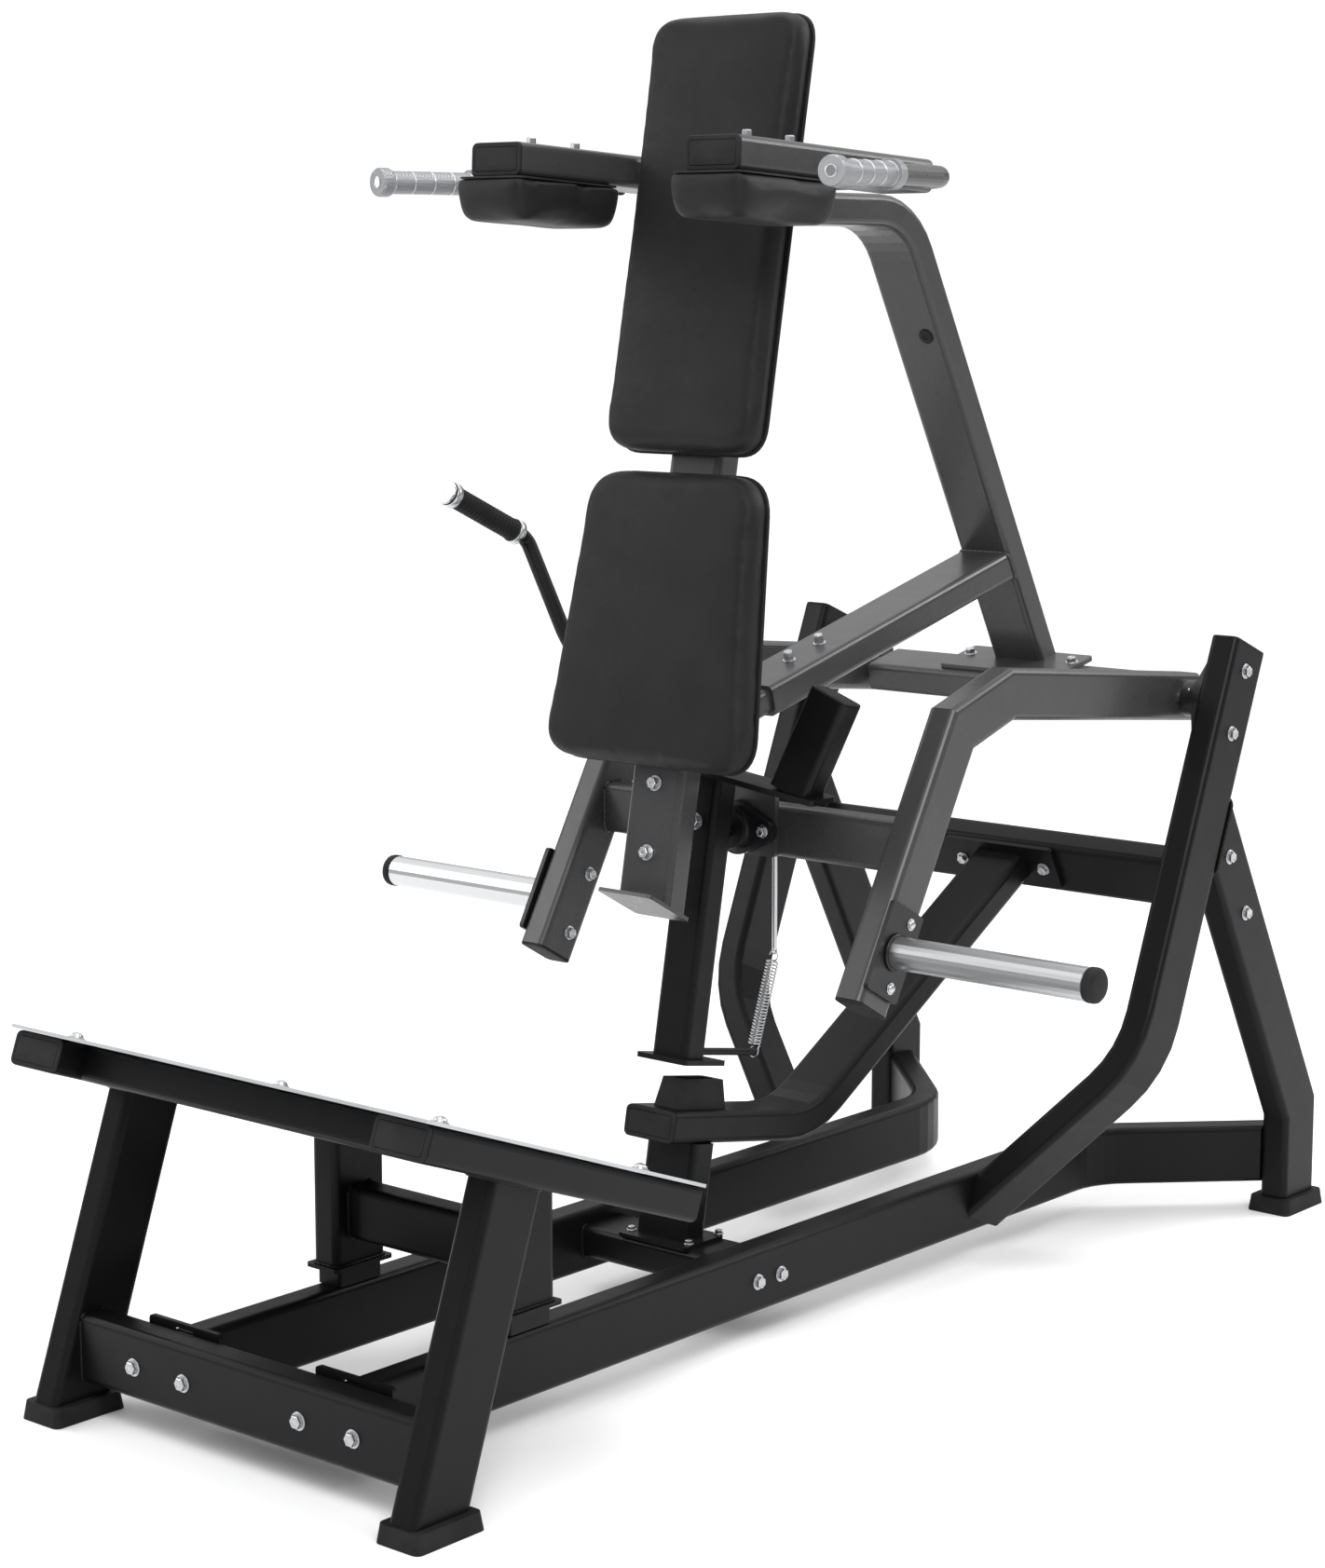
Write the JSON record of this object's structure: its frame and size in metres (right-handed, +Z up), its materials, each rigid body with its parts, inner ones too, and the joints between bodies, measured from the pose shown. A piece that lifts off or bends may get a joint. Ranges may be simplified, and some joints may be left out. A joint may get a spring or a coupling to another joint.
{
  "type": "hack squat machine",
  "caption": "Plate-loaded hack squat machine: sloping foot platform, swinging carriage with back and shoulder pads, weight horns, and a sprung lock lever.",
  "frame": {"origin": "on the floor, at the centre of the machine's outline seen from above", "axes": "+X to the side, across the machine; +Y from the foot platform to the rear pivot; +Z up"},
  "size_m": [1.4132, 2.175, 1.9868],
  "materials": {
    "frame_black": "satin black powder coat",
    "bearing_black": "semi-gloss black",
    "lock_black": "satin black powder coat",
    "carriage_grey": "glossy metallic grey paint",
    "platform_silver": "satin silver paint with a fine grit",
    "rubber": "moulded black rubber",
    "steel": "bright zinc and knurled steel",
    "vinyl": "black grained upholstery vinyl"
  },
  "bodies": {
    "frame": {"platform_front_tube": "frame_black", "platform_rear_tube": "frame_black", "front_beam": "frame_black", "post_crossbeam": "frame_black", "base_crossmember": "frame_black", "rear_crossbeam": "frame_black", "stop_brace": "frame_black", "stop_post": "frame_black", "platform_side_tube_L": "frame_black", "platform_side_tube_R": "frame_black", "front_leg_L": "frame_black", "front_leg_R": "frame_black", "platform_post_L": "frame_black", "platform_post_R": "frame_black", "base_rail_L": "frame_black", "base_rail_R": "frame_black", "upright_L": "frame_black", "upright_R": "frame_black", "rear_leg_L": "frame_black", "rear_leg_R": "frame_black", "pivot_bearing_L": "bearing_black", "pivot_bearing_R": "bearing_black", "platform_plate": "platform_silver", "front_foot_L": "rubber", "front_foot_R": "rubber", "rear_foot_L": "rubber", "rear_foot_R": "rubber", "stop_bumper": "rubber"},
    "carriage": {"lower_cross_tube": "carriage_grey", "pivot_cross_tube": "carriage_grey", "rear_diagonal": "carriage_grey", "strut": "carriage_grey", "pad_tube": "carriage_grey", "shoulder_crossbar": "carriage_grey", "arm_L": "carriage_grey", "arm_R": "carriage_grey", "shoulder_arm_L": "carriage_grey", "shoulder_arm_R": "carriage_grey", "handle_tube_L": "carriage_grey", "handle_tube_R": "carriage_grey", "upper_back_pad": "vinyl", "lower_back_pad": "vinyl", "shoulder_pad_L": "vinyl", "shoulder_pad_R": "vinyl", "horn_plate_L": "bearing_black", "horn_plate_R": "bearing_black", "weight_horn_L": "steel", "weight_horn_R": "steel", "pivot_stub_L": "steel", "pivot_stub_R": "steel", "handle_grip_L": "steel", "handle_grip_R": "steel", "lock_bearing": "bearing_black", "return_spring": "steel", "spring_hanger": "steel"},
    "lock_lever": {"lock_leg": "lock_black", "counterweight": "lock_black", "lock_grip": "rubber", "spring_rod": "bearing_black"}
  },
  "joints": [
    {"name": "carriage_pivot", "type": "hinge", "parent": "frame", "child": "carriage", "pos_m": [0, 0.7735, 0.908], "axis": [-1, 0, 0], "range_deg": [0, 16]},
    {"name": "lock_swing", "type": "hinge", "parent": "carriage", "child": "lock_lever", "pos_m": [0, 0.0125, 0.748], "axis": [0, 1, 0], "range_deg": [0, 14], "stiffness_Nm_per_rad": 40, "springref_deg": -20.05, "deforming": ["return_spring"]}
  ]
}
